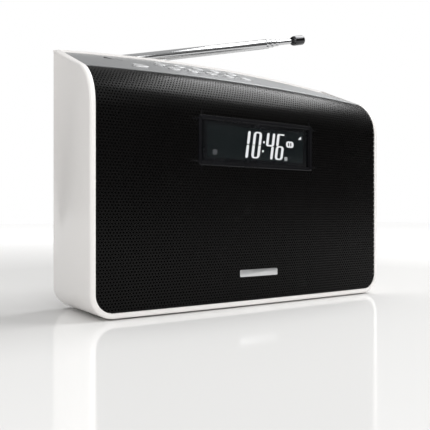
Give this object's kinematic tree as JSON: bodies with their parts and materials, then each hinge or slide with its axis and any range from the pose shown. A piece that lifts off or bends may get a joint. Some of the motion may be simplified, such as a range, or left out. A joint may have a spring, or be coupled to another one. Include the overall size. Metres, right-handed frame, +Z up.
{
  "type": "tabletop radio",
  "caption": "Tabletop digital radio with a white shell, curved perforated front, lit clock window, sloped silver key panel, twin speakers, battery bay and folding rod antenna.",
  "frame": {"origin": "on the floor, below the middle of the box round the whole object, with the antenna pushed in and raised 14 degrees", "axes": "+Z up, the front and display face -Y, +X to the right of someone facing the front"},
  "size_m": [0.255, 0.078, 0.2307],
  "materials": {
    "cabinet_white": "satin white moulding",
    "black_plastic": "matt black moulding",
    "grille_metal": "satin black perforated sheet",
    "grille_cloth": "fine black acoustic cloth",
    "panel_silver": "satin silver paint",
    "key_silver": "satin silver paint",
    "badge": "fine satin, blank",
    "bezel_black": "piano black",
    "lens": "clear smoked window",
    "lcd": "dark liquid crystal panel",
    "light_guide": "diffusing light guide",
    "board_green": "green solder mask",
    "flat_cable": "flat flexible cable",
    "switch_black": "switch housings",
    "basket_steel": "pressed steel, dark coat",
    "magnet_steel": "magnet and yoke",
    "surround_rubber": "rubber roll",
    "cone_paper": "pressed paper cone",
    "screw_steel": "zinc plated",
    "can_steel": "tinned screening can",
    "heatsink_alu": "extruded fins",
    "capacitor_blue": "sleeved cans",
    "chip_black": "chip packages",
    "socket_black": "socket bodies",
    "cell_jacket": "plain cell jackets",
    "contact_steel": "nickel plated spring steel",
    "foot_rubber": "soft feet",
    "wire_red": "insulated leads",
    "bush_steel": "turned bush and clip",
    "mast_chrome": "polished tube"
  },
  "bodies": {
    "radio": {"cabinet": "cabinet_white", "front_baffle": "black_plastic", "grille": "grille_metal", "grille_cloth": "grille_cloth", "top_panel": "panel_silver", "badge_plate": "badge", "display_bezel": "bezel_black", "display_lens": "lens", "lcd_glass": "lcd", "backlight": "light_guide", "display_board": "board_green", "display_ribbon": "flat_cable", "button_board": "board_green", "tact_switches": "switch_black", "left_basket": "basket_steel", "left_magnet": "magnet_steel", "left_surround": "surround_rubber", "right_basket": "basket_steel", "right_magnet": "magnet_steel", "right_surround": "surround_rubber", "speaker_screws": "screw_steel", "main_board": "board_green", "tuner_can": "can_steel", "heatsink": "heatsink_alu", "capacitors": "capacitor_blue", "chips": "chip_black", "board_screws": "screw_steel", "dc_jack": "socket_black", "headphone_jack": "socket_black", "jack_board": "board_green", "battery_box": "black_plastic", "battery_cells": "cell_jacket", "battery_springs": "contact_steel", "battery_plates": "contact_steel", "case_screws": "screw_steel", "rubber_feet": "foot_rubber", "wiring": "wire_red", "antenna_bushing": "bush_steel"},
    "power_button": {"power_button": "key_silver"},
    "preset_button_1": {"preset_button_1": "key_silver"},
    "preset_button_2": {"preset_button_2": "key_silver"},
    "preset_button_3": {"preset_button_3": "key_silver"},
    "preset_button_4": {"preset_button_4": "key_silver"},
    "preset_button_5": {"preset_button_5": "key_silver"},
    "menu_button_1": {"menu_button_1": "key_silver"},
    "menu_button_2": {"menu_button_2": "key_silver"},
    "menu_button_3": {"menu_button_3": "key_silver"},
    "menu_button_4": {"menu_button_4": "key_silver"},
    "menu_button_5": {"menu_button_5": "key_silver"},
    "left_cone": {"left_cone": "cone_paper"},
    "right_cone": {"right_cone": "cone_paper"},
    "battery_door": {"battery_door": "cabinet_white"},
    "turret": {"antenna_turret": "mast_chrome", "antenna_hinge_pin": "bush_steel", "antenna_clip": "bush_steel"},
    "mast_1": {"antenna_tube_1": "mast_chrome"},
    "mast_2": {"antenna_tube_2": "mast_chrome"},
    "mast_3": {"antenna_tube_3": "mast_chrome"},
    "mast_4": {"antenna_rod": "mast_chrome", "antenna_tip": "mast_chrome"}
  },
  "joints": [
    {"name": "power_button_press", "type": "slide", "parent": "radio", "child": "power_button", "axis": [0, 0.401, -0.9161], "range_m": [0, 0.0008], "stiffness_N_per_m": 1500},
    {"name": "preset_button_1_press", "type": "slide", "parent": "radio", "child": "preset_button_1", "axis": [0, 0.401, -0.9161], "range_m": [0, 0.0008], "stiffness_N_per_m": 1500},
    {"name": "preset_button_2_press", "type": "slide", "parent": "radio", "child": "preset_button_2", "axis": [0, 0.401, -0.9161], "range_m": [0, 0.0008], "stiffness_N_per_m": 1500},
    {"name": "preset_button_3_press", "type": "slide", "parent": "radio", "child": "preset_button_3", "axis": [0, 0.401, -0.9161], "range_m": [0, 0.0008], "stiffness_N_per_m": 1500},
    {"name": "preset_button_4_press", "type": "slide", "parent": "radio", "child": "preset_button_4", "axis": [0, 0.401, -0.9161], "range_m": [0, 0.0008], "stiffness_N_per_m": 1500},
    {"name": "preset_button_5_press", "type": "slide", "parent": "radio", "child": "preset_button_5", "axis": [0, 0.401, -0.9161], "range_m": [0, 0.0008], "stiffness_N_per_m": 1500},
    {"name": "menu_button_1_press", "type": "slide", "parent": "radio", "child": "menu_button_1", "axis": [0, 0.401, -0.9161], "range_m": [0, 0.0008], "stiffness_N_per_m": 1500},
    {"name": "menu_button_2_press", "type": "slide", "parent": "radio", "child": "menu_button_2", "axis": [0, 0.401, -0.9161], "range_m": [0, 0.0008], "stiffness_N_per_m": 1500},
    {"name": "menu_button_3_press", "type": "slide", "parent": "radio", "child": "menu_button_3", "axis": [0, 0.401, -0.9161], "range_m": [0, 0.0008], "stiffness_N_per_m": 1500},
    {"name": "menu_button_4_press", "type": "slide", "parent": "radio", "child": "menu_button_4", "axis": [0, 0.401, -0.9161], "range_m": [0, 0.0008], "stiffness_N_per_m": 1500},
    {"name": "menu_button_5_press", "type": "slide", "parent": "radio", "child": "menu_button_5", "axis": [0, 0.401, -0.9161], "range_m": [0, 0.0008], "stiffness_N_per_m": 1500},
    {"name": "left_cone_travel", "type": "slide", "parent": "radio", "child": "left_cone", "axis": [0, -1, 0], "range_m": [-0.0005, 0.0005], "stiffness_N_per_m": 1200},
    {"name": "right_cone_travel", "type": "slide", "parent": "radio", "child": "right_cone", "axis": [0, -1, 0], "range_m": [-0.0005, 0.0005], "stiffness_N_per_m": 1200},
    {"name": "battery_door_hinge", "type": "hinge", "parent": "radio", "child": "battery_door", "pos_m": [0, 0.02875, 0.01045], "axis": [-1, 0, 0], "range_deg": [0, 100]},
    {"name": "antenna_swivel", "type": "hinge", "parent": "radio", "child": "turret", "pos_m": [-0.113, 0.03475, 0.1714], "axis": [0, -1, 0], "range_deg": [-14, 166]},
    {"name": "antenna_tilt", "type": "hinge", "parent": "turret", "child": "mast_1", "pos_m": [-0.113, 0.03475, 0.1714], "axis": [-0.2419, 0, 0.9703], "range_deg": [0, 90]},
    {"name": "mast_2_pull", "type": "slide", "parent": "mast_1", "child": "mast_2", "axis": [0.9703, 0, 0.2419], "range_m": [0, 0.15]},
    {"name": "mast_3_pull", "type": "slide", "parent": "mast_2", "child": "mast_3", "axis": [0.9703, 0, 0.2419], "range_m": [0, 0.15]},
    {"name": "mast_4_pull", "type": "slide", "parent": "mast_3", "child": "mast_4", "axis": [0.9703, 0, 0.2419], "range_m": [0, 0.15]}
  ]
}
